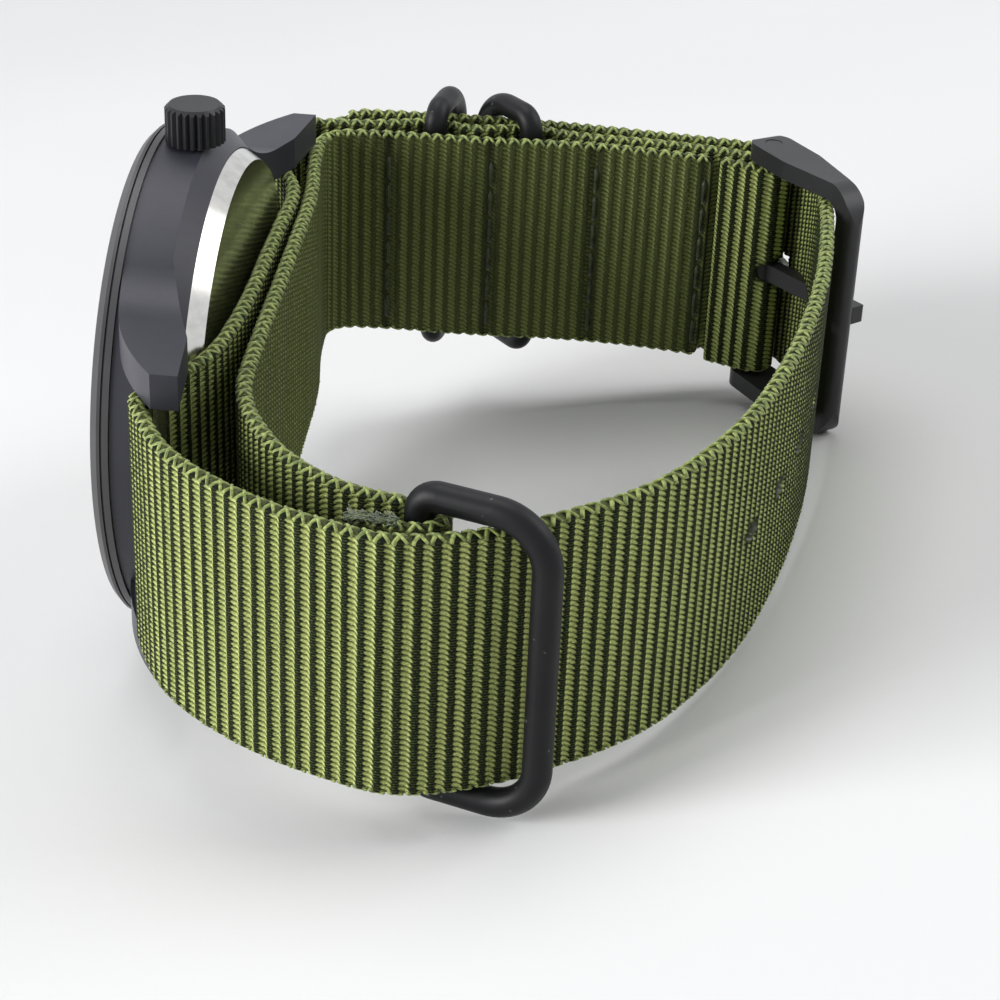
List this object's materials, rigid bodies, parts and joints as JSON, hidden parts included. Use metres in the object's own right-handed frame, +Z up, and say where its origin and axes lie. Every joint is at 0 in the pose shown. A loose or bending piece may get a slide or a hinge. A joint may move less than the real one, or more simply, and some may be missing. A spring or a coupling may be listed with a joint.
{
  "type": "field watch",
  "caption": "Round field watch on a ribbed nylon pull-through strap with wire rings and a tongue buckle, fastened and standing on the edge of its case.",
  "frame": {"origin": "middle of the footprint, on the surface that the fastened watch stands on", "axes": "+Z up; +X roughly from the dial to the case back; +Y roughly from six to twelve o'clock, across the loop's long way"},
  "size_m": [0.0622, 0.0856, 0.0433],
  "materials": {
    "case_black": "matte",
    "steel_polished": "polished",
    "black_wire": "satin",
    "nylon_green": "ribbed weave",
    "crystal_glass": "polished",
    "dial_black": "matte",
    "hand_white": "satin",
    "seal_rubber": "matte",
    "brass_wheels": "brushed",
    "movement_steel": "brushed",
    "copper_coil": "gloss",
    "movement_plastic": "matte",
    "circuit_green": "gloss"
  },
  "bodies": {
    "watch": {"mid_case": "case_black", "bezel": "case_black", "crystal": "crystal_glass", "crystal_gasket": "seal_rubber", "case_back": "steel_polished", "case_back_gasket": "seal_rubber", "chapter_ring": "dial_black", "dial": "dial_black", "main_plate": "movement_steel", "train_bridge": "movement_steel", "bridge_screws": "movement_steel", "stator": "movement_steel", "coil": "copper_coil", "battery": "movement_steel", "battery_clamp": "movement_steel", "circuit_board": "circuit_green", "quartz_can": "movement_steel", "movement_holder": "movement_plastic", "crown_tube": "steel_polished", "spring_bar_12": "steel_polished", "spring_bar_6": "steel_polished", "main_strap": "nylon_green", "short_strap": "nylon_green"},
    "clutch": {"clutch_wheel": "movement_steel"},
    "crown": {"crown": "case_black", "stem": "movement_steel", "crown_gasket": "seal_rubber"},
    "setting_lever": {"setting_lever": "movement_steel"},
    "seconds": {"seconds_hand": "hand_white", "seconds_wheel": "brass_wheels"},
    "minutes": {"minute_hand": "hand_white", "centre_wheel": "brass_wheels"},
    "hours": {"hour_hand": "hand_white", "hour_wheel": "brass_wheels"},
    "third_wheel": {"third_wheel": "brass_wheels"},
    "minute_wheel": {"minute_wheel": "brass_wheels"},
    "step_wheel": {"step_wheel": "brass_wheels"},
    "rotor": {"rotor": "movement_steel"},
    "end_ring": {"end_ring": "black_wire"},
    "keeper_1": {"keeper_ring_1": "black_wire"},
    "keeper_2": {"keeper_ring_2": "black_wire"},
    "buckle": {"buckle_frame": "black_wire", "heel_bar": "black_wire"},
    "tongue": {"buckle_tongue": "black_wire"},
    "bar_tip_12_crown": {"bar_tip_12_crown": "steel_polished"},
    "bar_tip_12_far": {"bar_tip_12_far": "steel_polished"},
    "bar_tip_6_crown": {"bar_tip_6_crown": "steel_polished"},
    "bar_tip_6_far": {"bar_tip_6_far": "steel_polished"}
  },
  "joints": [
    {"name": "crown_turn", "type": "hinge", "parent": "watch", "child": "clutch", "pos_m": [-0.02187, -0.00098, 0.02821], "axis": [0.1903, -0.0556, 0.9802], "continuous": true},
    {"name": "crown_pull", "type": "slide", "parent": "clutch", "child": "crown", "axis": [0.1903, -0.0556, 0.9802], "range_m": [0, 0.0012]},
    {"name": "setting_lever_swing", "type": "hinge", "parent": "watch", "child": "setting_lever", "pos_m": [-0.02081, -0.00408, 0.03089], "axis": [0.9817, 0.0108, -0.19], "range_deg": [0, 23.17]},
    {"name": "seconds_turn", "type": "hinge", "parent": "watch", "child": "seconds", "pos_m": [-0.02601, -0.00057, 0.02087], "axis": [0.9817, 0.0108, -0.19], "continuous": true},
    {"name": "minute_turn", "type": "hinge", "parent": "watch", "child": "minutes", "pos_m": [-0.02569, -0.00056, 0.02081], "axis": [0.9817, 0.0108, -0.19], "continuous": true},
    {"name": "hour_turn", "type": "hinge", "parent": "watch", "child": "hours", "pos_m": [-0.02538, -0.00056, 0.02075], "axis": [0.9817, 0.0108, -0.19], "continuous": true},
    {"name": "third_wheel_turn", "type": "hinge", "parent": "watch", "child": "third_wheel", "pos_m": [-0.02353, -0.00155, 0.01697], "axis": [0.9817, 0.0108, -0.19], "continuous": true},
    {"name": "minute_wheel_turn", "type": "hinge", "parent": "watch", "child": "minute_wheel", "pos_m": [-0.02408, -0.00287, 0.02169], "axis": [0.9817, 0.0108, -0.19], "continuous": true},
    {"name": "step_wheel_turn", "type": "hinge", "parent": "watch", "child": "step_wheel", "pos_m": [-0.02256, -0.00251, 0.02327], "axis": [0.9817, 0.0108, -0.19], "continuous": true},
    {"name": "rotor_turn", "type": "hinge", "parent": "watch", "child": "rotor", "pos_m": [-0.02211, -0.00502, 0.02304], "axis": [0.9817, 0.0108, -0.19], "continuous": true},
    {"name": "end_ring_pivot", "type": "hinge", "parent": "watch", "child": "end_ring", "pos_m": [-0.0007, -0.03803, 0.01383], "axis": [0.1903, -0.0556, 0.9802], "range_deg": [-60, 0]},
    {"name": "keeper_1_pivot", "type": "hinge", "parent": "watch", "child": "keeper_1", "pos_m": [-0.00911, 0.03404, 0.01955], "axis": [0.1903, -0.0556, 0.9802], "range_deg": [-8, 40]},
    {"name": "keeper_2_pivot", "type": "hinge", "parent": "watch", "child": "keeper_2", "pos_m": [-0.00043, 0.03434, 0.01788], "axis": [0.1903, -0.0556, 0.9802], "range_deg": [-45, 0]},
    {"name": "buckle_pivot", "type": "hinge", "parent": "watch", "child": "buckle", "pos_m": [0.02129, 0.0311, 0.01349], "axis": [0.1903, -0.0556, 0.9802], "range_deg": [0, 1.5]},
    {"name": "tongue_pivot", "type": "hinge", "parent": "buckle", "child": "tongue", "pos_m": [0.02129, 0.0311, 0.01349], "axis": [0.1903, -0.0556, 0.9802], "range_deg": [0, 1.2]},
    {"name": "bar_tip_12_crown_press", "type": "slide", "parent": "watch", "child": "bar_tip_12_crown", "axis": [-0.1903, 0.0556, -0.9802], "range_m": [0, 0.0012], "stiffness_N_per_m": 500},
    {"name": "bar_tip_12_far_press", "type": "slide", "parent": "watch", "child": "bar_tip_12_far", "axis": [0.1903, -0.0556, 0.9802], "range_m": [0, 0.0012], "stiffness_N_per_m": 500},
    {"name": "bar_tip_6_crown_press", "type": "slide", "parent": "watch", "child": "bar_tip_6_crown", "axis": [-0.1903, 0.0556, -0.9802], "range_m": [0, 0.0012], "stiffness_N_per_m": 500},
    {"name": "bar_tip_6_far_press", "type": "slide", "parent": "watch", "child": "bar_tip_6_far", "axis": [0.1903, -0.0556, 0.9802], "range_m": [0, 0.0012], "stiffness_N_per_m": 500}
  ],
  "couplings": [
    {"joint": "setting_lever_swing", "follows": "crown_pull", "rad_per_m": 335.6},
    {"joint": "minute_turn", "follows": "seconds_turn", "ratio": 0.016667},
    {"joint": "hour_turn", "follows": "seconds_turn", "ratio": 0.0013889},
    {"joint": "third_wheel_turn", "follows": "seconds_turn", "ratio": -0.125},
    {"joint": "minute_wheel_turn", "follows": "seconds_turn", "ratio": -0.0055556},
    {"joint": "step_wheel_turn", "follows": "seconds_turn", "ratio": -5},
    {"joint": "rotor_turn", "follows": "seconds_turn", "ratio": 30}
  ]
}
